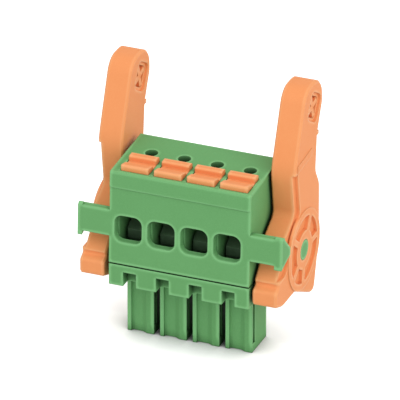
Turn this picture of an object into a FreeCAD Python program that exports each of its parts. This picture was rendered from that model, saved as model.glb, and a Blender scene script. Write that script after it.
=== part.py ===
import FreeCAD, Part
import math
import os
import Sketcher

# Pluggable terminal block: a moulded plug with push-in clamps, one push button per pole,
# and a lock and release lever at each end.
# Millimetres. X runs along the row of poles, Y from the wire entries to the back, Z up.
# The origin is the centre of the plugging face, at the foot of the contact legs.

SIZES = {
    # The row of poles
    "pole_count": 4,
    "pole_pitch": 3.5,
    "end_margin": 0.45,
    "row_depth": 4.86,
    "wall_gap": 0.05,

    # Upper housing, heights above the plugging face, depths behind the front face
    "seam_level": 8.9,
    "seam_groove_height": 0.16,
    "seam_groove_depth": 0.25,
    "band_level": 17.1,
    "top_front_level": 18.78,
    "top_back_level": 19.18,
    "body_depth": 8.6,
    "front_lean": 0.42,
    "band_proud": 0.12,
    "band_lean": 0.14,
    "edge_round": 0.18,

    # Clamping chambers inside the housing
    "chamber_width": 3.0,
    "chamber_front": 0.95,
    "chamber_back": 7.7,
    "chamber_roof": 16.7,

    # Wire entries
    "entry_width": 2.95,
    "entry_height": 2.9,
    "entry_round": 0.85,
    "entry_level": 12.7,
    "entry_shift": -0.22,
    "entry_taper": 2.0,

    # Test holes
    "test_hole_radius": 0.65,
    "test_hole_depth": 5.2,
    "test_hole_shift": 0.3,

    # Stop arms at both ends of the housing
    "arm_bottom": 11.76,
    "arm_top": 14.53,
    "arm_thickness": 0.62,
    "arm_over": 0.19,
    "stop_clearance": 0.06,
    "stop_bottom": 11.3,
    "stop_peak": 14.78,
    "stop_tip_depth": 2.55,
    "stop_tip_low": 12.05,
    "stop_tip_high": 12.8,

    # Pivot pins of the levers
    "pivot_depth": 7.42,
    "pivot_level": 10.12,
    "pin_radius": 1.03,
    "pin_clearance": 0.05,

    # Push buttons
    "button_width": 2.9,
    "button_front": 0.98,
    "button_back": 3.95,
    "button_shift": 0.2,
    "ridge_level": 19.42,
    "ridge_back": 2.3,
    "ridge_back_level": 19.12,
    "slot_back": 3.05,
    "slot_floor": 18.86,
    "button_foot": 16.0,
    "ridge_round": 0.16,
    "button_travel": 1.1,
    "button_gap": 0.06,
    "prong_inner": 0.72,
    "prong_width": 0.62,
    "prong_front": 3.2,
    "prong_back": 3.88,
    "prong_gap": 0.15,
    "lug_depth": 0.22,
    "lug_height": 0.45,
    "lug_gap": 0.08,

    # Contact carrier
    "skirt_bottom": 6.45,
    "notch_width": 1.38,
    "notch_top": 8.0,
    "notch_depth": 1.3,
    "leg_width": 2.84,
    "leg_depth": 3.87,
    "leg_rib_left": 0.42,
    "leg_rib_right": 0.77,
    "leg_groove_depth": 0.28,
    "leg_groove_run": 0.5,
    "side_groove_width": 0.55,
    "side_groove_depth": 0.18,
    "side_groove_offset": 0.2,
    "side_groove_bottom": 0.9,
    "socket_width": 1.9,
    "socket_depth": 2.5,
    "socket_floor": 0.75,
    "pin_entry": 1.1,
    "spigot_height": 0.6,

    # Current bars
    "bar_thickness": 0.6,
    "bar_width": 1.8,
    "bar_plate_top": 14.9,
    "bar_plate_front": 4.2,
    "bar_back": 7.4,
    "tail_width": 1.2,
    "tail_end": 7.3,

    # Clamp springs
    "spring_thickness": 0.28,
    "spring_width": 2.4,
    "spring_front": 2.5,
    "spring_heel": 6.6,
    "spring_tip": 6.0,
    "spring_gap": 0.04,
    "spring_bend": 0.6,

    # Socket contacts
    "blade_thickness": 0.25,
    "blade_width": 1.2,
    "cuff_bottom": 7.45,
    "cuff_top": 8.75,
    "blade_grip": 0.38,
    "blade_grip_level": 2.3,
    "blade_flare": 0.75,
    "blade_end": 1.0,

    # Levers, measured along X from the housing's side
    "lever_gap_left": 0.6,
    "lever_gap_right": 0.28,
    "handle_width": 2.6,
    "lever_edge_cut": 0.16,

    # Lever outline: front edge from the top down, depths and heights
    "lever_top": 27.28,
    "grip_front": 8.0,
    "grip_front_round": 2.1,
    "grip_start_depth": 5.0,
    "grip_start_level": 19.4,
    "grip_start_round": 5.0,
    "neck_depth": 5.7,
    "neck_level": 14.5,
    "shoulder_depth": 3.3,
    "shoulder_level": 13.2,
    "front_round": 1.0,
    "brow_depth": 1.9,
    "brow_level": 10.6,
    "lip_depth": 0.75,
    "lip_level": 9.4,
    "lip_undercut": 0.22,
    "lip_height": 0.4,
    "claw_front": 0.15,
    "claw_level": 8.6,
    "claw_bottom": 7.05,
    "claw_round": 0.4,

    # Lever outline: sole, heel and back edge
    "sole_front": 1.9,
    "sole_back": 5.3,
    "sole_level": 6.4,
    "sole_round": 1.6,
    "heel_depth": 10.4,
    "heel_level": 3.85,
    "heel_round": 0.8,
    "head_back": 11.85,
    "head_low_level": 9.3,
    "head_low_round": 10.0,
    "head_high_level": 15.6,
    "head_high_round": 2.0,
    "waist_depth": 10.8,
    "waist_level": 17.4,
    "waist_round": 1.2,
    "throat_depth": 11.15,
    "throat_level": 21.3,
    "throat_round": 1.0,
    "thumb_back": 12.5,
    "thumb_level": 24.3,
    "thumb_round": 1.0,
    "grip_back": 12.5,
    "grip_back_round": 2.2,

    # Small rib across the back edge
    "back_rib_reach": 0.32,
    "back_rib_height": 0.4,
    "back_rib_level": 21.1,

    # Relief along the front of the outer face, where the stop's tip passes
    "relief_width": 0.8,
    "relief_depth": 0.34,
    "relief_top": 19.2,
    "relief_bottom": 9.52,
    "relief_round": 0.9,

    # Raised line across the outer face
    "line_rise": 0.08,
    "line_front": 5.7,
    "line_back": 9.5,
    "line_level": 19.3,
    "line_climb": 0.3,
    "line_height": 0.8,

    # Round boss about the pivot, on the outer face
    "boss_radius": 4.25,
    "boss_rise": 0.12,
    "boss_pocket_radius": 3.5,
    "boss_pocket_depth": 0.34,
    "hub_radius": 2.05,
    "spoke_width": 0.65,
    "spoke_overlap": 0.15,

    # Window near the top of both faces, with crossed ribs
    "window_depth": 9.5,
    "window_level": 23.3,
    "window_tilt": 60.0,
    "window_width": 2.78,
    "window_length": 2.9,
    "window_round": 0.7,
    "window_recess": 0.24,
    "window_rim": 0.36,
    "cell_recess": 0.6,
    "rib_width": 0.55,
}


document = FreeCAD.newDocument("terminal_block")


def make_sheet():
    """Keep every driving size in one sheet, each under its own name."""
    sheet = document.addObject("Spreadsheet::Sheet", "sizes")
    for row, (name, size) in enumerate(SIZES.items(), start=1):
        sheet.set("A%d" % row, name)
        sheet.set("B%d" % row, str(size))
        sheet.setAlias("B%d" % row, name)
    document.recompute()
    return sheet


sheet = make_sheet()


def full(text):
    """Put the sheet's name before each size in an expression."""
    words = []
    word = ""
    for letter in str(text) + " ":
        if letter.isalnum() or letter in "_.":
            word += letter
            continue
        words.append("sizes." + word if word in SIZES else word)
        words.append(letter)
        word = ""
    return "".join(words).strip()


def value(text):
    """The number that an expression on the sheet gives."""
    result = sheet.evalExpression(full(text))
    return float(getattr(result, "Value", result))


def new_body(name):
    body = document.addObject("PartDesign::Body", name)
    body.Label = name
    return body


def origin_plane(body, role):
    return [each for each in body.Origin.OriginFeatures if each.Role == role][0]


def new_sketch(body, name, role, offset):
    """A sketch on one of the body's own planes, moved by expressions along its three axes."""
    sketch = body.newObject("Sketcher::SketchObject", name)
    sketch.AttachmentSupport = [(origin_plane(body, role), "")]
    sketch.MapMode = "FlatFace"
    for axis, text in zip("xyz", offset):
        sketch.setExpression("AttachmentOffset.Base." + axis, full(text))
    return sketch


def pin_point(sketch, geometry, point, across, up):
    """Tie a point of the sketch to the sheet, measured from the sketch's origin."""
    for kind, text in (("DistanceX", across), ("DistanceY", up)):
        index = sketch.addConstraint(Sketcher.Constraint(kind, -1, 1, geometry, point, value(text)))
        sketch.setExpression("Constraints[%d]" % index, full(text))


def half_turn(points, here):
    """Half the angle between the two edges that meet at a corner."""
    before = (points[here - 1] - points[here]).normalize()
    after = (points[(here + 1) % len(points)] - points[here]).normalize()
    return math.acos(max(-1.0, min(1.0, before.dot(after)))) / 2


def limit_radii(points, wished):
    """Make a corner's radius smaller where the edges beside it are too short for it."""
    count = len(points)
    reaches = [wished[here] / math.tan(half_turn(points, here)) for here in range(count)]
    shares = [1.0] * count
    for here in range(count):
        after = (here + 1) % count
        needed = reaches[here] + reaches[after]
        length = (points[after] - points[here]).Length
        if needed > length * EDGE_SHARE:
            share = length * EDGE_SHARE / needed
            shares[here] = min(shares[here], share)
            shares[after] = min(shares[after], share)
    return [radius * share for radius, share in zip(wished, shares)]


def add_outline(sketch, corners):
    """A closed outline. Each corner is (across, up) or (across, up, radius) in expressions."""
    points = [FreeCAD.Vector(value(each[0]), value(each[1]), 0) for each in corners]
    wished = [value(each[2]) if len(each) > 2 else 0.0 for each in corners]
    radii = limit_radii(points, wished)
    count = len(points)
    starts, ends, arcs = [], [], []
    for here in range(count):
        before = (points[here - 1] - points[here]).normalize()
        after = (points[(here + 1) % count] - points[here]).normalize()
        half = half_turn(points, here)
        if not radii[here]:
            ends.append(points[here])
            starts.append(points[here])
            arcs.append(None)
            continue
        reach = radii[here] / math.tan(half)
        ends.append(points[here] + before * reach)
        starts.append(points[here] + after * reach)
        middle = (before + after).normalize() * (radii[here] / math.sin(half))
        turn = before.x * after.y - before.y * after.x
        arcs.append((points[here] + middle, turn < 0))
    up = FreeCAD.Vector(0, 0, 1)
    lines = []
    for here in range(count):
        edge = Part.LineSegment(starts[here], ends[(here + 1) % count])
        lines.append(sketch.addGeometry(edge, False))
    for here in range(count):
        came, went = lines[here - 1], lines[here]
        if arcs[here] is None:
            sketch.addConstraint(Sketcher.Constraint("Coincident", came, 2, went, 1))
            pin_point(sketch, went, 1, corners[here][0], corners[here][1])
            continue
        centre, left_turn = arcs[here]
        first, last = (ends[here], starts[here]) if left_turn else (starts[here], ends[here])
        angles = [math.atan2(each.y - centre.y, each.x - centre.x) for each in (first, last)]
        circle = Part.Circle(centre, up, radii[here])
        arc = sketch.addGeometry(Part.ArcOfCircle(circle, angles[0], angles[1]), False)
        corner = sketch.addGeometry(Part.Point(points[here]), True)
        pin_point(sketch, corner, 1, corners[here][0], corners[here][1])
        sketch.addConstraint(Sketcher.Constraint("PointOnObject", corner, 1, came))
        sketch.addConstraint(Sketcher.Constraint("PointOnObject", corner, 1, went))
        arc_in, arc_out = (1, 2) if left_turn else (2, 1)
        sketch.addConstraint(Sketcher.Constraint("Tangent", came, 2, arc, arc_in))
        sketch.addConstraint(Sketcher.Constraint("Tangent", went, 1, arc, arc_out))
        index = sketch.addConstraint(Sketcher.Constraint("Radius", arc, radii[here]))
        if radii[here] == wished[here]:
            sketch.setExpression("Constraints[%d]" % index, full(corners[here][2]))


def add_circle(sketch, across, up, radius):
    centre = FreeCAD.Vector(value(across), value(up), 0)
    circle = Part.Circle(centre, FreeCAD.Vector(0, 0, 1), value(radius))
    index = sketch.addGeometry(circle, False)
    pin_point(sketch, index, 3, across, up)
    size = sketch.addConstraint(Sketcher.Constraint("Radius", index, value(radius)))
    sketch.setExpression("Constraints[%d]" % size, full(radius))


def finish_slab(body, name, sketch, length, cut, taper, towards_normal):
    """Pad or pocket a sketch, and check that it changed the body the right way."""
    document.recompute()
    before = body.Shape.Volume if body.Tip else 0.0
    kind = "PartDesign::Pocket" if cut else "PartDesign::Pad"
    feature = body.newObject(kind, name)
    feature.Profile = sketch
    feature.setExpression("Length", full(length))
    feature.Reversed = towards_normal if cut else not towards_normal
    if taper is not None:
        feature.setExpression("TaperAngle", full(taper))
    document.recompute()
    change = body.Shape.Volume - before
    if (change >= 0) if cut else (change <= 0):
        raise RuntimeError(name + " did not change its body as it should")
    return feature


def side_slab(body, name, outlines, x_from, x_to, cut=False):
    """Outlines seen from the side, in depth behind the front face and height, run along X."""
    sketch = new_sketch(body, name + "_sketch", "YZ_Plane", ("-row_depth", "0", x_from))
    for corners in outlines:
        draw(sketch, corners)
    return finish_slab(body, name, sketch, "(%s) - (%s)" % (x_to, x_from), cut, None, True)


def top_slab(body, name, outlines, z_from, z_to, cut=False):
    """Outlines seen from above, in X and depth behind the front face, run along Z."""
    sketch = new_sketch(body, name + "_sketch", "XY_Plane", ("0", "-row_depth", z_from))
    for corners in outlines:
        draw(sketch, corners)
    return finish_slab(body, name, sketch, "(%s) - (%s)" % (z_to, z_from), cut, None, True)


def front_slab(body, name, outlines, y_from, y_to, cut=False, taper=None):
    """Outlines seen from the front, in X and height, run from one depth to a larger one."""
    sketch = new_sketch(body, name + "_sketch", "XZ_Plane", ("0", "0", "row_depth - (%s)" % y_from))
    for corners in outlines:
        draw(sketch, corners)
    return finish_slab(body, name, sketch, "(%s) - (%s)" % (y_to, y_from), cut, taper, False)


def draw(sketch, corners):
    """A circle is given as ("circle", across, up, radius), anything else is an outline."""
    if corners[0] == "circle":
        add_circle(sketch, *corners[1:])
    else:
        add_outline(sketch, corners)


def box_corners(low_a, high_a, low_b, high_b, radius=None):
    """The four corners of a rectangle, with rounded corners if a radius is given."""
    corners = [(low_a, low_b), (high_a, low_b), (high_a, high_b), (low_a, high_b)]
    if radius is None:
        return corners
    return [corner + (radius,) for corner in corners]


def repeat_along_row(body, name, features):
    """Copy features of the first pole to every pole."""
    pattern = body.newObject("PartDesign::LinearPattern", name)
    pattern.Originals = features
    pattern.Direction = (origin_plane(body, "YZ_Plane"), [""])
    pattern.setExpression("Length", full("(pole_count - 1) * pole_pitch"))
    pattern.setExpression("Occurrences", full("pole_count"))
    body.Tip = pattern
    document.recompute()
    return pattern


def cut_edges(body, name, size, wanted):
    """Chamfer the edges of the body's tip that the test picks."""
    base = body.Tip
    names = []
    for index, edge in enumerate(base.Shape.Edges, start=1):
        if wanted(edge):
            names.append("Edge%d" % index)
    chamfer = body.newObject("PartDesign::Chamfer", name)
    chamfer.Base = (base, names)
    chamfer.setExpression("Size", full(size))
    document.recompute()
    return chamfer


EDGE_SHARE = 0.98
SAME_PLACE = 1e-4
FIRST_POLE = "-(pole_count - 1) * pole_pitch / 2"
HALF_BODY = "(pole_count * pole_pitch / 2 + end_margin)"
ARM_END = "(%s + lever_gap_left + handle_width + arm_over)" % HALF_BODY


def lean_at(level):
    """Depth of the leaning front face at a height below the band."""
    return "front_lean * (%s - seam_level) / (band_level - seam_level)" % level


def outwards(sign, near, far):
    """The span from near to far of the middle, on the side that the sign gives, low end first."""
    pair = ["%s(%s)" % (sign, near), "%s(%s)" % (sign, far)]
    return reversed(pair) if sign else pair


def housing():
    """Upper moulding: clamping chambers, wire entries, button wells, stop arms and pivot pins."""
    body = new_body("housing")
    band_front = "(front_lean - band_proud)"
    side = [
        ("0", "seam_level"),
        ("front_lean", "band_level"),
        (band_front, "band_level"),
        ("%s + band_lean" % band_front, "top_front_level", "edge_round"),
        ("body_depth", "top_back_level", "edge_round"),
        ("body_depth", "seam_level"),
    ]
    side_slab(body, "shell", [side], "-" + HALF_BODY, HALF_BODY)
    chamber = side_slab(
        body, "chamber",
        [box_corners("chamber_front", "chamber_back", "seam_level", "chamber_roof")],
        FIRST_POLE + " - chamber_width / 2", FIRST_POLE + " + chamber_width / 2", cut=True)
    entry_x = FIRST_POLE + " + entry_shift"
    entry = front_slab(
        body, "wire_entry",
        [box_corners(entry_x + " - entry_width / 2", entry_x + " + entry_width / 2",
                     "entry_level - entry_height / 2", "entry_level + entry_height / 2",
                     "entry_round")],
        "0", "chamber_front + wall_gap", cut=True, taper="-entry_taper")
    button_x = FIRST_POLE + " + button_shift"
    half_well = "(button_width / 2 + button_gap)"
    well = top_slab(
        body, "button_well",
        [box_corners("%s - %s" % (button_x, half_well), "%s + %s" % (button_x, half_well),
                     "button_front - button_gap", "button_back + button_gap")],
        "button_foot - button_travel - button_gap", "top_back_level + 1", cut=True)
    test_hole = top_slab(
        body, "test_hole",
        [("circle", FIRST_POLE + " + test_hole_shift", "test_hole_depth", "test_hole_radius")],
        "chamber_roof - wall_gap", "top_back_level + 1", cut=True)
    repeat_along_row(body, "poles", [chamber, entry, well, test_hole])
    stop = [
        (lean_at("stop_bottom"), "stop_bottom"),
        ("stop_tip_depth", "stop_tip_low"),
        ("stop_tip_depth", "stop_tip_high"),
        ("arm_thickness", "stop_peak"),
        (lean_at("arm_top"), "arm_top"),
    ]
    arm = [
        (lean_at("arm_bottom"), "arm_bottom"),
        ("arm_thickness + front_lean", "arm_bottom"),
        ("arm_thickness + front_lean", "arm_top"),
        (lean_at("arm_top"), "arm_top"),
    ]
    pin = ("circle", "pivot_depth", "pivot_level", "pin_radius")
    for side_name, sign in (("left", "-"), ("right", "")):
        plane = HALF_BODY + " + lever_gap_%s + handle_width" % side_name
        root = HALF_BODY + " - end_margin"
        side_slab(body, "arm_" + side_name, [arm], *outwards(sign, root, ARM_END))
        side_slab(body, "stop_" + side_name, [stop],
                  *outwards(sign, plane + " - relief_depth + stop_clearance", ARM_END))
        side_slab(body, "pivot_pin_" + side_name, [pin],
                  *outwards(sign, root, plane + " + boss_rise"))
    return body


def contact_carrier():
    """Lower moulding: the notched skirt and one hollow leg for each contact."""
    body = new_body("contact_carrier")
    groove_bottom = "seam_level - seam_groove_height"
    side_slab(body, "skirt", [box_corners("0", "body_depth", "skirt_bottom", groove_bottom)],
              "-" + HALF_BODY, HALF_BODY)
    side_slab(body, "seam",
              [box_corners("seam_groove_depth", "body_depth - seam_groove_depth",
                           groove_bottom + " - wall_gap", "seam_level")],
              "-%s + seam_groove_depth" % HALF_BODY, HALF_BODY + " - seam_groove_depth")
    half_leg = "leg_width / 2"
    leg_front = "row_depth - leg_depth / 2"
    leg_back = "row_depth + leg_depth / 2"
    leg = top_slab(
        body, "leg",
        [box_corners(FIRST_POLE + " - " + half_leg, FIRST_POLE + " + " + half_leg,
                     leg_front, leg_back)],
        "0", "skirt_bottom + wall_gap")
    groove_left = FIRST_POLE + " - " + half_leg + " + leg_rib_left"
    groove_right = FIRST_POLE + " + " + half_leg + " - leg_rib_right"
    groove_floor = leg_front + " + leg_groove_depth"
    groove = top_slab(
        body, "leg_groove",
        [[(groove_left, leg_front + " - wall_gap"),
          (groove_right, leg_front + " - wall_gap"),
          (groove_right, leg_front, "leg_groove_run / 2"),
          (groove_right + " - leg_groove_run", groove_floor, "leg_groove_run"),
          (groove_left, groove_floor, "leg_groove_depth / 2")]],
        "0", "skirt_bottom", cut=True)
    leg_side = FIRST_POLE + " + " + half_leg
    side_groove = top_slab(
        body, "side_groove",
        [box_corners(leg_side + " - side_groove_depth", leg_side + " + wall_gap",
                     leg_front + " + side_groove_offset",
                     leg_front + " + side_groove_offset + side_groove_width")],
        "side_groove_bottom", "skirt_bottom", cut=True)
    notch = front_slab(
        body, "notch",
        [box_corners(FIRST_POLE + " - notch_width / 2", FIRST_POLE + " + notch_width / 2",
                     "skirt_bottom - wall_gap", "notch_top")],
        "-wall_gap", "notch_depth", cut=True)
    half_plug = "(chamber_width / 2 - wall_gap)"
    spigot = top_slab(
        body, "spigot",
        [box_corners(FIRST_POLE + " - " + half_plug, FIRST_POLE + " + " + half_plug,
                     "chamber_front + wall_gap", "chamber_back - wall_gap")],
        "seam_level - wall_gap", "seam_level + spigot_height - wall_gap")
    socket = top_slab(
        body, "socket",
        [box_corners(FIRST_POLE + " - socket_width / 2", FIRST_POLE + " + socket_width / 2",
                     "row_depth - socket_depth / 2", "row_depth + socket_depth / 2")],
        "socket_floor", "seam_level + spigot_height", cut=True)
    pin_entry = top_slab(
        body, "pin_entry",
        [box_corners(FIRST_POLE + " - pin_entry / 2", FIRST_POLE + " + pin_entry / 2",
                     "row_depth - pin_entry / 2", "row_depth + pin_entry / 2")],
        "0", "socket_floor + wall_gap", cut=True)
    repeat_along_row(body, "poles",
                     [leg, groove, side_groove, notch, spigot, socket, pin_entry])
    return body


def place_at_pole(body, number, shift="0"):
    """Move a piece that is drawn at the middle of the row to its own pole."""
    body.setExpression("Placement.Base.x", full("%s + %d * pole_pitch + %s"
                                                % (FIRST_POLE, number, shift)))


def push_button(number):
    """Two ridges with a driver slot between them, a prong that presses the spring, and a lug."""
    body = new_body("push_button_%d" % (number + 1))
    head = [
        ("button_front", "button_foot"),
        ("button_back", "button_foot"),
        ("button_back", "ridge_level", "ridge_round"),
        ("slot_back", "ridge_level", "ridge_round"),
        ("slot_back", "slot_floor"),
        ("ridge_back", "slot_floor"),
        ("ridge_back", "ridge_back_level", "ridge_round"),
        ("button_front", "ridge_level", "ridge_round"),
    ]
    side_slab(body, "head", [head], "-button_width / 2", "button_width / 2")
    prong = box_corners("prong_front", "prong_back", PRONG_END, "button_foot + wall_gap")
    side_slab(body, "prong", [prong], "prong_inner - button_shift",
              "prong_inner - button_shift + prong_width")
    lug = [
        ("button_back", "chamber_roof - lug_gap"),
        ("button_back - wall_gap", "chamber_roof - lug_gap"),
        ("button_back - wall_gap", "chamber_roof - lug_gap - lug_height"),
        ("button_back", "chamber_roof - lug_gap - lug_height"),
        ("button_back + lug_depth", "chamber_roof - lug_gap - wall_gap"),
        ("button_back + lug_depth", "chamber_roof - lug_gap"),
    ]
    side_slab(body, "lug", [lug], "-button_width / 4", "button_width / 4")
    place_at_pole(body, number, "button_shift")
    return body


BAR_FOOT_TOP = "(seam_level + spigot_height + wall_gap + bar_thickness)"
SPRING_RISE_START = "(%s + spring_thickness + 2 * spring_bend)" % BAR_FOOT_TOP
PLATE_UNDERSIDE = "(bar_plate_top - bar_thickness)"
PRONG_END = "(%s + (%s - %s) * (prong_back - spring_front) / (spring_tip - spring_front) + prong_gap)" % (
    SPRING_RISE_START, PLATE_UNDERSIDE, SPRING_RISE_START)


def current_bar(number):
    """Bent copper bar: clamping plate on top, back limb, foot, and tail into the leg."""
    body = new_body("current_bar_%d" % (number + 1))
    foot_bottom = "(%s - bar_thickness)" % BAR_FOOT_TOP
    tail_back = "row_depth + bar_thickness / 2"
    tail_front = "row_depth - bar_thickness / 2"
    upper = [
        (tail_front, foot_bottom),
        ("bar_back", foot_bottom),
        ("bar_back", "bar_plate_top"),
        ("bar_plate_front", "bar_plate_top"),
        ("bar_plate_front", PLATE_UNDERSIDE),
        ("bar_back - bar_thickness", PLATE_UNDERSIDE),
        ("bar_back - bar_thickness", BAR_FOOT_TOP),
        (tail_front, BAR_FOOT_TOP),
    ]
    side_slab(body, "bar", [upper], "-bar_width / 2", "bar_width / 2")
    side_slab(body, "tail", [box_corners(tail_front, tail_back, "tail_end",
                                         foot_bottom + " + wall_gap")],
              "-tail_width / 2", "tail_width / 2")
    place_at_pole(body, number)
    return body


def clamp_spring(number):
    """Bent strip: a foot on the bar, a bend at the front and a limb that clamps the wire."""
    body = new_body("clamp_spring_%d" % (number + 1))
    tip_top = "(%s - spring_gap)" % PLATE_UNDERSIDE
    inner_rise = "(%s + spring_thickness)" % BAR_FOOT_TOP
    strip = [
        ("spring_front", BAR_FOOT_TOP, "spring_bend"),
        ("spring_heel", BAR_FOOT_TOP),
        ("spring_heel", inner_rise),
        ("spring_front + spring_thickness", inner_rise, "spring_bend - spring_thickness"),
        ("spring_front + spring_thickness", SPRING_RISE_START),
        ("spring_tip + spring_thickness", tip_top),
        ("spring_tip", tip_top),
        ("spring_front", SPRING_RISE_START),
    ]
    side_slab(body, "strip", [strip], "-spring_width / 2", "spring_width / 2")
    place_at_pole(body, number)
    return body


def socket_contact(number):
    """Thin cuff round the bar's tail, with two blades that grip the header's pin."""
    body = new_body("socket_contact_%d" % (number + 1))
    half_tail = "bar_thickness / 2"
    for side_name, sign in (("front", "-"), ("back", "+")):
        blade = [
            ("row_depth %s %s" % (sign, half_tail), "cuff_top"),
            ("row_depth %s (%s + blade_thickness)" % (sign, half_tail), "cuff_top"),
            ("row_depth %s (%s + blade_thickness)" % (sign, half_tail), "cuff_bottom"),
            ("row_depth %s (blade_grip + blade_thickness)" % sign, "blade_grip_level"),
            ("row_depth %s (blade_flare + blade_thickness)" % sign, "blade_end"),
            ("row_depth %s blade_flare" % sign, "blade_end"),
            ("row_depth %s blade_grip" % sign, "blade_grip_level"),
            ("row_depth %s %s" % (sign, half_tail), "cuff_bottom"),
        ]
        side_slab(body, "blade_" + side_name, [blade], "-blade_width / 2", "blade_width / 2")
    web = box_corners("row_depth - %s - blade_thickness" % half_tail,
                      "row_depth + %s + blade_thickness" % half_tail, "cuff_bottom", "cuff_top")
    side_slab(body, "web", [web], "-blade_width / 2 - blade_thickness", "-blade_width / 2")
    place_at_pole(body, number)
    return body


def lever_outline():
    """Side view of a lever: along the sole, up the back edge and down the front edge."""
    return [
        ("claw_front", "claw_bottom", "claw_round"),
        ("sole_front", "sole_level", "sole_round"),
        ("sole_back", "sole_level", "sole_round"),
        ("heel_depth", "heel_level", "heel_round"),
        ("head_back", "head_low_level", "head_low_round"),
        ("head_back", "head_high_level", "head_high_round"),
        ("waist_depth", "waist_level", "waist_round"),
        ("throat_depth", "throat_level", "throat_round"),
        ("thumb_back", "thumb_level", "thumb_round"),
        ("grip_back", "lever_top", "grip_back_round"),
        ("grip_front", "lever_top", "grip_front_round"),
        ("grip_start_depth", "grip_start_level", "grip_start_round"),
        ("neck_depth", "neck_level", "front_round"),
        ("shoulder_depth", "shoulder_level", "front_round"),
        ("brow_depth", "brow_level", "front_round"),
        ("lip_depth", "lip_level"),
        ("lip_depth + lip_undercut", "lip_level - lip_height", "lip_undercut"),
        ("claw_front", "claw_level", "claw_round"),
    ]


def turned(angle, origin, along, aside):
    """A point along a direction from the origin, and aside from it. The angle is in degrees."""
    turn = "(%s) * 1deg" % angle
    return ("%s + (%s) * cos(%s) - (%s) * sin(%s)" % (origin[0], along, turn, aside, turn),
            "%s + (%s) * sin(%s) + (%s) * cos(%s)" % (origin[1], along, turn, aside, turn))


def turned_box(angle, origin, along, width, radius=None):
    """A rectangle on a line through the origin, between two places along that line."""
    corners = [turned(angle, origin, along[0], "-(%s) / 2" % width),
               turned(angle, origin, along[1], "-(%s) / 2" % width),
               turned(angle, origin, along[1], "(%s) / 2" % width),
               turned(angle, origin, along[0], "(%s) / 2" % width)]
    if radius is None:
        return corners
    return [corner + (radius,) for corner in corners]


# Directions of the spokes between the hub and the ring, in degrees from the back towards the top
SPOKE_ANGLES = (2, 61, 142, 216, 265)
PIVOT = ("pivot_depth", "pivot_level")


def boss(body, plane, sign):
    """Round boss about the pivot: a raised ring and hub, with spokes across the pocket."""
    face = plane + " + boss_rise"
    side_slab(body, "boss", [("circle",) + PIVOT + ("boss_radius",)],
              *outwards(sign, plane + " - lever_edge_cut - wall_gap", face))
    side_slab(body, "boss_pocket",
              [("circle",) + PIVOT + ("boss_pocket_radius",), ("circle",) + PIVOT + ("hub_radius",)],
              *outwards(sign, face + " - boss_pocket_depth", face + " + wall_gap"), cut=True)
    for number, angle in enumerate(SPOKE_ANGLES, start=1):
        spoke = turned_box(angle, PIVOT, ("hub_radius - spoke_overlap",
                                          "boss_pocket_radius + spoke_overlap"), "spoke_width")
        side_slab(body, "spoke_%d" % number, [spoke],
                  *outwards(sign, face + " - boss_pocket_depth - wall_gap", face))


def window(body, name, sign, face, inward):
    """Shallow window with crossed ribs over four deeper cells. Inward is +1 or -1 along X."""
    base = ("window_depth", "window_level")
    middle = turned("window_tilt", base, "window_length / 2", "0")

    def slab_from(name, outlines, outer, deep, cut):
        pair = [face + " + %d * (%s)" % (inward, text) for text in (outer, deep)]
        if inward < 0:
            pair.reverse()
        side_slab(body, name, outlines, *outwards(sign, *pair), cut=cut)

    outline = turned_box("window_tilt", base, ("0", "window_length"), "window_width", "window_round")
    slab_from(name + "_recess", [outline], "-wall_gap", "window_recess", True)
    cells = turned_box("window_tilt", base, ("window_rim", "window_length - window_rim"),
                       "window_width - 2 * window_rim", "window_round / 2")
    slab_from(name + "_cells", [cells], "window_recess - wall_gap", "cell_recess", True)
    reach = "(window_width + window_length) / 4 - window_rim / 2"
    for number, turn in enumerate(("45", "-45"), start=1):
        rib = turned_box("window_tilt + " + turn, middle, ("-(%s)" % reach, reach), "rib_width")
        slab_from("%s_rib_%d" % (name, number), [rib], "window_recess",
                  "cell_recess + wall_gap", False)


def edges_on(places):
    """Pick the edges that lie in these planes across X."""
    places = [abs(value(each)) for each in places]

    def wanted(edge):
        return any(all(abs(abs(vertex.X) - place) < SAME_PLACE for vertex in edge.Vertexes)
                   for place in places)

    return wanted


def lever(side_name, sign):
    """Lock and release lever: handle, head round the pivot pin, and claw."""
    body = new_body("lever_" + side_name)
    inner = HALF_BODY + " + lever_gap_" + side_name
    plane = inner + " + handle_width"
    side_slab(body, "blade", [lever_outline()], *outwards(sign, inner, plane))
    cut_edges(body, "rims", "lever_edge_cut", edges_on([inner, plane]))
    relief = [
        ("claw_front - wall_gap", "relief_top"),
        ("claw_front - wall_gap", "relief_bottom"),
        ("brow_depth + relief_width", "relief_bottom", "relief_round"),
        ("shoulder_depth + relief_width", "shoulder_level - relief_width", "relief_round"),
        ("neck_depth + relief_width", "neck_level", "relief_round"),
        ("grip_start_depth + relief_width", "relief_top"),
    ]
    step = plane + " - relief_depth"
    side_slab(body, "stop_relief", [relief], *outwards(sign, step, plane + " + wall_gap"), cut=True)
    rib = box_corners("throat_depth - back_rib_reach", "throat_depth + back_rib_reach",
                      "back_rib_level", "back_rib_level + back_rib_height")
    side_slab(body, "back_rib", [rib], *outwards(sign, inner, plane))
    line = [
        ("line_front", "line_level"),
        ("line_back", "line_level + line_climb"),
        ("line_back", "line_level + line_climb + line_height"),
        ("line_front", "line_level + line_height"),
    ]
    side_slab(body, "raised_line", [line], *outwards(sign, plane + " - wall_gap",
                                                     plane + " + line_rise"))
    boss(body, plane, sign)
    window(body, "window_outside", sign, plane, -1)
    window(body, "window_inside", sign, inner, 1)
    bore = ("circle",) + PIVOT + ("pin_radius + pin_clearance",)
    side_slab(body, "bore", [bore],
              *outwards(sign, inner + " - wall_gap", plane + " + boss_rise + wall_gap"), cut=True)
    return body


def check_document():
    """Stop if any feature failed."""
    document.recompute()
    for each in document.Objects:
        bad = [state for state in each.State if state in ("Invalid", "Error")]
        if bad:
            raise RuntimeError("%s is %s" % (each.Name, bad))


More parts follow.
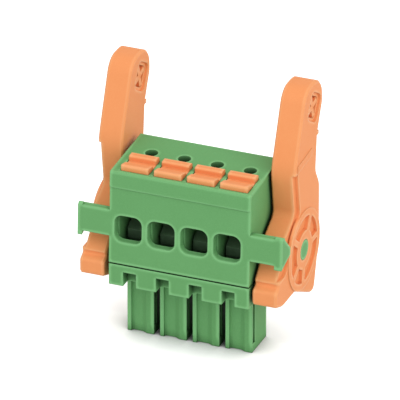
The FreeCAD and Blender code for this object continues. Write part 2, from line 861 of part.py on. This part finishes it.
def build():
    parts = [housing(), contact_carrier()]
    for number in range(int(value("pole_count"))):
        parts += [push_button(number), current_bar(number), clamp_spring(number),
                  socket_contact(number)]
    parts += [lever("left", "-"), lever("right", "")]
    check_document()
    os.makedirs("parts", exist_ok=True)
    for part in parts:
        shape = part.Shape
        if shape.isNull() or not shape.isValid() or len(shape.Solids) != 1:
            raise RuntimeError(part.Label + " has no single valid solid")
        shape.exportStep("parts/%s.step" % part.Label)
        print(part.Label, round(shape.Volume, 3))


build()
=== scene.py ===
import math

import bmesh
import bpy
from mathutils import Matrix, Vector


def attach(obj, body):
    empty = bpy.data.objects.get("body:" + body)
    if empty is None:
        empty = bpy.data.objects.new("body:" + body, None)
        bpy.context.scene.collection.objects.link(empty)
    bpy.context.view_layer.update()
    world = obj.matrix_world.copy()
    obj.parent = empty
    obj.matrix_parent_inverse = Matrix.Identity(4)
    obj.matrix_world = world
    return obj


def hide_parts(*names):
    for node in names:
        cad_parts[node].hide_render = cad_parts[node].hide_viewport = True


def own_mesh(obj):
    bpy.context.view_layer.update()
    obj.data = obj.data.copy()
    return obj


# Pluggable terminal block: finishes of its mouldings and metal strips, floor, light and camera.
# Metres. X runs along the row of poles, Y from the wire entries to the back, Z up.

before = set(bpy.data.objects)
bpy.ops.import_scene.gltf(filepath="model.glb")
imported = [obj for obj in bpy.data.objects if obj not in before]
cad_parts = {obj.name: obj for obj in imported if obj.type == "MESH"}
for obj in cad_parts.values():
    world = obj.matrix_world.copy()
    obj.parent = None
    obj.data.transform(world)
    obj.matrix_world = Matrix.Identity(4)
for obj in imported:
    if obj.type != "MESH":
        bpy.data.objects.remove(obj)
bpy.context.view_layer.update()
MM = 0.001
POLES = (1, 2, 3, 4)

# Colours as they are seen, from 0 to 255
GREEN = (107, 167, 106)
# Pale green: speckles of the mould's grain, and the painted highlight on edges
GREEN_GRAIN_AND_HIGHLIGHT = (152, 218, 152)
GREEN_DEEP = (100, 160, 98)
# Darkest green: painted shade in crevices, holes, entries and gaps
GREEN_PAINTED_SHADE = (10, 36, 12)
ORANGE = (244, 157, 100)
# Pale orange: speckles of the mould's grain, and the painted highlight on edges
ORANGE_GRAIN_AND_HIGHLIGHT = (255, 196, 142)
ORANGE_DEEP = (240, 150, 93)
# Darkest orange: painted shade in crevices and under other parts
ORANGE_PAINTED_SHADE = (196, 98, 46)
TIN = (196, 194, 186)
TIN_DULL = (160, 156, 146)
# Spring steel painted dark and green: painted shade, and a painted reflection of the green walls around
# it
STEEL_WITH_PAINTED_SHADE_AND_REFLECTION = (96, 124, 96)
STEEL_DULL_WITH_PAINTED_SHADE_AND_REFLECTION = (72, 100, 72)

# Mouldings: long patches where the plastic flowed, in the deeper colour
FLOW_SIZE = 4.0 * MM
FLOW_RANGE = (0.35, 0.7)
FLOW_SHARE = 0.35

# Mouldings: fine grain of the mould, in colour and relief, with wider pores
GRAIN_SIZE = 0.09 * MM
GRAIN_RANGE = (0.45, 0.75)
GRAIN_SHARE = 0.14
PORE_SIZE = 0.3 * MM
PORE_HEIGHT = 0.6
PORE_DULLING = 0.1
MOULD_BUMP = 0.35
MOULD_RELIEF = 0.012 * MM
MOULD_SHINE = 0.08

# Mouldings: rounded edges, with a painted highlight in the pale colour and a smoother surface, where
# nothing stands over them
EDGE_RADIUS = 0.2 * MM
EDGE_BAND = 0.42 * MM
EDGE_RANGE = (0.06, 0.36)
EDGE_OPEN_RANGE = (0.5, 0.8)
EDGE_HIGHLIGHT_SHARE = 0.5
WEAR_POLISH = 0.08

# Mouldings: how near other walls paint a crevice dark, as painted shade
PAINTED_SHADE_REACH = 1.9 * MM
PAINTED_SHADE_RANGE = (0.18, 0.68)

# Metal strips: fine lines along the strip, and dull patches
DRAWN_SIZE = 0.08 * MM
DRAWN_STRETCH = (1.0, 1.0, 0.12)
DRAWN_DULLING = 0.08
PATCH_SIZE = 1.3 * MM
PATCH_RANGE = (0.4, 0.75)
PATCH_SHARE = 0.5
PATCH_DULLING = 0.18
STRIP_BUMP = 0.3
STRIP_RELIEF = 0.004 * MM
STRIP_EDGE_RADIUS = 0.05 * MM

# Clamp springs: how near points merge, and the angle above which edges stay sharp
MERGE_REACH = 0.0005 * MM
SHARP_ANGLE = math.radians(30)

# Floor: its grey for the light that it throws back, and its looks in the open and under the part, where
# a painted shadow darkens it
FLOOR_SIZE = 1.2
FLOOR_DROP = 0.02 * MM
FLOOR_GREY = 0.75
FLOOR_SEEN = 1.0
FLOOR_GLOW = 0.5
FLOOR_PAINTED_SHADOW = 0.3
FLOOR_ROUGHNESS = 0.9
PAINTED_SHADOW_REACH = 5.5 * MM
PAINTED_SHADOW_RANGE = (0.25, 0.97)

# Light: the world's level on the part, and for each lamp its place, width and power
WORLD_LEVEL = 0.78
WORLD_SEEN = 1.0
LAMPS = {
    "key_left": ((-0.25, -0.45, 0.5), 0.5, 0.55),
    "key_right": ((0.45, -0.28, 0.42), 0.6, 1.5),
}

# Camera: turned to the right of the front and raised, far off, so that it sees nearly no perspective
AZIMUTH = math.radians(21.8)
ELEVATION = math.radians(27.2)
DISTANCE = 0.83
TARGET = Vector((0.0, 0.847, 14.47)) * MM
VIEW_WIDTH = 39.6 * MM
NEAREST_SEEN = 0.01
FARTHEST_SEEN = 10.0


def linear(colour):
    """A colour from 0 to 255 as the shader's linear values."""
    shares = [level / 255 for level in colour]
    return tuple(s / 12.92 if s <= 0.04045 else ((s + 0.055) / 1.055) ** 2.4 for s in shares) + (1.0,)


def grey(level):
    """A linear grey from 0 to 1 as a colour."""
    return (level, level, level, 1.0)


class Wire:
    """An output socket that takes part in sums, with numbers or with other sockets."""

    def __init__(self, nodes, socket):
        self.nodes = nodes
        self.socket = socket

    def maths(self, operation, first, second, clamp=False):
        return self.nodes.node("ShaderNodeMath", {"operation": operation, "use_clamp": clamp},
                               {0: first, 1: second})

    def __add__(self, other):
        return self.maths("ADD", self, other)

    __radd__ = __add__

    def __mul__(self, other):
        return self.maths("MULTIPLY", self, other)

    __rmul__ = __mul__

    def __sub__(self, other):
        return self.maths("SUBTRACT", self, other)

    def __rsub__(self, other):
        return self.maths("SUBTRACT", other, self)

    def clamped(self):
        return self.maths("ADD", self, 0.0, clamp=True)

    def larger(self, other):
        return self.maths("MAXIMUM", self, other)


class Nodes:
    """The node tree of a material or of the world."""

    def __init__(self, tree):
        self.tree = tree

    def node(self, kind, settings=None, sockets=None, out=0):
        """Make a node: its settings first, then its sockets, as numbers, colours or wires."""
        node = self.tree.nodes.new(kind)
        for name, setting in (settings or {}).items():
            setattr(node, name, setting)
        for key, given in (sockets or {}).items():
            self.feed(node.inputs[key], given)
        return Wire(self, node.outputs[out])

    def feed(self, socket, given):
        if isinstance(given, Wire):
            self.tree.links.new(given.socket, socket)
        else:
            socket.default_value = given

    def place(self):
        return self.node("ShaderNodeTexCoord", out="Object")

    def noise(self, size, detail, roughness, place=None):
        """Soft noise from 0 to 1 whose patches are about the given size."""
        return self.node("ShaderNodeTexNoise", {}, {
            "Vector": place or self.place(), "Scale": 1 / size,
            "Detail": detail, "Roughness": roughness}, out="Fac")

    def ramp(self, wire, span):
        """Stretch the span of a wire to 0 to 1."""
        low, high = span
        return self.node("ShaderNodeMapRange", {"clamp": True}, {
            "Value": wire, "From Min": low, "From Max": high, "To Min": 0.0, "To Max": 1.0})

    def mix(self, share, first, second):
        """Mix two colours, by a share from 0 to 1 of the second one."""
        return self.node("ShaderNodeMix", {"data_type": "RGBA"}, {0: share, 6: first, 7: second}, out=2)

    def rounded(self, radius):
        return self.node("ShaderNodeBevel", {"samples": 8}, {"Radius": radius})

    def occlusion(self, reach, inside=False):
        """1 in the open, less where other surfaces stand close by, or inside, close to an edge."""
        return self.node("ShaderNodeAmbientOcclusion", {"samples": 16, "inside": inside},
                         {"Distance": reach}, out="AO")

    def bump(self, height, strength, distance, normal):
        return self.node("ShaderNodeBump", {}, {
            "Height": height, "Strength": strength, "Distance": distance, "Normal": normal})

    def seen_ray(self):
        """1 for what the camera sees, straight, in gloss or through glass, and 0 for what lights."""
        seen = self.node("ShaderNodeLightPath", out="Is Camera Ray")
        for other in ("Is Glossy Ray", "Is Transmission Ray"):
            seen = seen.larger(self.node("ShaderNodeLightPath", out=other))
        return seen


class Finish(Nodes):
    """A material that is built from nodes, with its Principled shader ready for values."""

    def __init__(self, name):
        self.material = bpy.data.materials.new(name)
        self.material.use_nodes = True
        super().__init__(self.material.node_tree)
        self.shader = self.tree.nodes["Principled BSDF"]

    def set(self, **values):
        for name, given in values.items():
            self.feed(self.shader.inputs[name.replace("_", " ")], given)


def moulded(name, colour, light, deep, shade_colour, painted_shade_share, roughness):
    """Matte moulded plastic: grain of the mould, faint flow marks, a painted highlight on edges,
    painted shade in crevices.
    """
    finish = Finish(name)
    flow = finish.ramp(finish.noise(FLOW_SIZE, detail=3.0, roughness=0.55), FLOW_RANGE)
    grain = finish.noise(GRAIN_SIZE, detail=3.0, roughness=0.6)
    pores = finish.noise(PORE_SIZE, detail=2.0, roughness=0.5)
    open_sky = finish.occlusion(PAINTED_SHADE_REACH)
    thin = 1 - finish.occlusion(EDGE_BAND, inside=True)
    edge = finish.ramp(thin, EDGE_RANGE) * finish.ramp(open_sky, EDGE_OPEN_RANGE)
    painted_shade = 1 - finish.ramp(open_sky, PAINTED_SHADE_RANGE)
    body = finish.mix(flow * FLOW_SHARE, linear(colour), linear(deep))
    speckled = finish.mix(finish.ramp(grain, GRAIN_RANGE) * GRAIN_SHARE, body, linear(light))
    # Painted highlight: rounded edges in the open are mixed toward the pale colour
    edge_highlighted = finish.mix(edge * EDGE_HIGHLIGHT_SHARE, speckled, linear(light))
    relief = grain + PORE_HEIGHT * pores
    finish.set(
        # Painted shade: where other walls stand close, the colour is mixed toward a dark colour
        Base_Color=finish.mix(painted_shade * painted_shade_share, edge_highlighted, linear(shade_colour)),
        Roughness=(roughness + PORE_DULLING * pores - WEAR_POLISH * edge).clamped(),
        Normal=finish.bump(relief, MOULD_BUMP, MOULD_RELIEF, finish.rounded(EDGE_RADIUS)),
        Specular_IOR_Level=MOULD_SHINE)
    return finish.material


def rolled(name, colour, dull, roughness, metallic):
    """Rolled metal strip, bare or plated: drawn along its length, with dull patches."""
    finish = Finish(name)
    along = finish.node("ShaderNodeMapping", {}, {"Vector": finish.place(), "Scale": DRAWN_STRETCH})
    drawn = finish.noise(DRAWN_SIZE, detail=3.0, roughness=0.6, place=along)
    patches = finish.ramp(finish.noise(PATCH_SIZE, detail=3.0, roughness=0.6), PATCH_RANGE)
    finish.set(
        Base_Color=finish.mix(patches * PATCH_SHARE, linear(colour), linear(dull)),
        Roughness=(roughness + PATCH_DULLING * patches + DRAWN_DULLING * drawn).clamped(),
        Normal=finish.bump(drawn, STRIP_BUMP, STRIP_RELIEF, finish.rounded(STRIP_EDGE_RADIUS)),
        Metallic=metallic)
    return finish.material


def of_each_pole(kind):
    """The names of the nodes that each pole has one of."""
    return ["%s_%d" % (kind, pole) for pole in POLES]


def dress(names, material):
    """Give CAD nodes a finish."""
    for name in names:
        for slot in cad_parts[name].material_slots:
            slot.material = material


def dress_all():
    green = moulded("green_moulding", GREEN, GREEN_GRAIN_AND_HIGHLIGHT, GREEN_DEEP, GREEN_PAINTED_SHADE,
                    painted_shade_share=0.9, roughness=0.5)
    orange = moulded("orange_moulding", ORANGE, ORANGE_GRAIN_AND_HIGHLIGHT, ORANGE_DEEP, ORANGE_PAINTED_SHADE,
                     painted_shade_share=0.2, roughness=0.46)
    tin = rolled("tinned_copper", TIN, TIN_DULL, roughness=0.4, metallic=0.85)
    steel = rolled("spring_strip", STEEL_WITH_PAINTED_SHADE_AND_REFLECTION, STEEL_DULL_WITH_PAINTED_SHADE_AND_REFLECTION, roughness=0.5, metallic=0.7)
    dress(["housing", "contact_carrier"], green)
    dress(of_each_pole("push_button") + ["lever_left", "lever_right"], orange)
    dress(of_each_pole("current_bar") + of_each_pole("socket_contact"), tin)
    dress(of_each_pole("clamp_spring"), steel)
    for pole in POLES:
        bending_strip(pole, steel)


def make_object(name, form, material):
    """An object at the origin from a bmesh, which is used up."""
    mesh = bpy.data.meshes.new(name)
    form.to_mesh(mesh)
    form.free()
    mesh.materials.append(material)
    made = bpy.data.objects.new(name, mesh)
    bpy.context.scene.collection.objects.link(made)
    return made


def bending_strip(pole, steel):
    """The clamp spring again, as a smooth-shaded strip that takes the place of its CAD node."""
    node = "clamp_spring_%d" % pole
    form = bmesh.new()
    form.from_mesh(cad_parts[node].data)
    bmesh.ops.remove_doubles(form, verts=form.verts, dist=MERGE_REACH)
    for face in form.faces:
        face.smooth = True
    strip = make_object("clamp_strip_%d" % pole, form, steel)
    strip.data.set_sharp_from_angle(angle=SHARP_ANGLE)
    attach(strip, "plug")
    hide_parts(node)
    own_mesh(strip)


def make_floor():
    """A plain pale floor, which the camera sees as white, darkened near the part by the part's real
    shadow and by a painted shadow.
    """
    form = bmesh.new()
    bmesh.ops.create_grid(form, x_segments=1, y_segments=1, size=FLOOR_SIZE / 2)
    bmesh.ops.translate(form, verts=form.verts, vec=(0, 0, -FLOOR_DROP))
    finish = Finish("pale_floor")
    seen = finish.seen_ray()
    # Painted shadow: near the part the seen grey and its glow fade toward a darker grey
    in_open = finish.ramp(finish.occlusion(PAINTED_SHADOW_REACH), PAINTED_SHADOW_RANGE)
    shade = finish.mix(in_open, grey(FLOOR_PAINTED_SHADOW), grey(FLOOR_SEEN))
    glow = finish.mix(in_open, grey(0.0), grey(FLOOR_GLOW))
    finish.set(
        Base_Color=finish.mix(seen, grey(FLOOR_GREY), shade),
        Emission_Color=finish.mix(seen, grey(0.0), glow),
        Emission_Strength=1.0, Roughness=FLOOR_ROUGHNESS, Specular_IOR_Level=0.0)
    make_object("floor", form, finish.material)


def make_world():
    """Even light from all sides, which the camera sees as white."""
    world = bpy.data.worlds.new("studio")
    world.use_nodes = True
    bpy.context.scene.world = world
    nodes = Nodes(world.node_tree)
    background = world.node_tree.nodes["Background"]
    level = WORLD_LEVEL + (WORLD_SEEN - WORLD_LEVEL) * nodes.seen_ray()
    nodes.feed(background.inputs["Strength"], level)
    nodes.feed(background.inputs["Color"], grey(1.0))


def make_lamp(name, place, width, power):
    """A round soft lamp that points at the middle of the view."""
    light = bpy.data.lights.new(name, "AREA")
    light.shape = "DISK"
    light.size = width
    light.energy = power
    lamp = bpy.data.objects.new(name, light)
    lamp.location = place
    aim = TARGET - Vector(place)
    lamp.rotation_euler = aim.to_track_quat("-Z", "Y").to_euler()
    bpy.context.scene.collection.objects.link(lamp)


def make_camera():
    away = Vector((math.sin(AZIMUTH) * math.cos(ELEVATION),
                   -math.cos(AZIMUTH) * math.cos(ELEVATION), math.sin(ELEVATION)))
    data = bpy.data.cameras.new("camera")
    data.lens = data.sensor_width * DISTANCE / VIEW_WIDTH
    data.clip_start = NEAREST_SEEN
    data.clip_end = FARTHEST_SEEN
    camera = bpy.data.objects.new("camera", data)
    camera.location = TARGET + away * DISTANCE
    camera.rotation_euler = (-away).to_track_quat("-Z", "Y").to_euler()
    bpy.context.scene.collection.objects.link(camera)
    bpy.context.scene.camera = camera


dress_all()
make_floor()
make_world()
for lamp_name, (place, width, power) in LAMPS.items():
    make_lamp(lamp_name, place, width, power)
make_camera()
bpy.context.scene.view_settings.view_transform = "Standard"
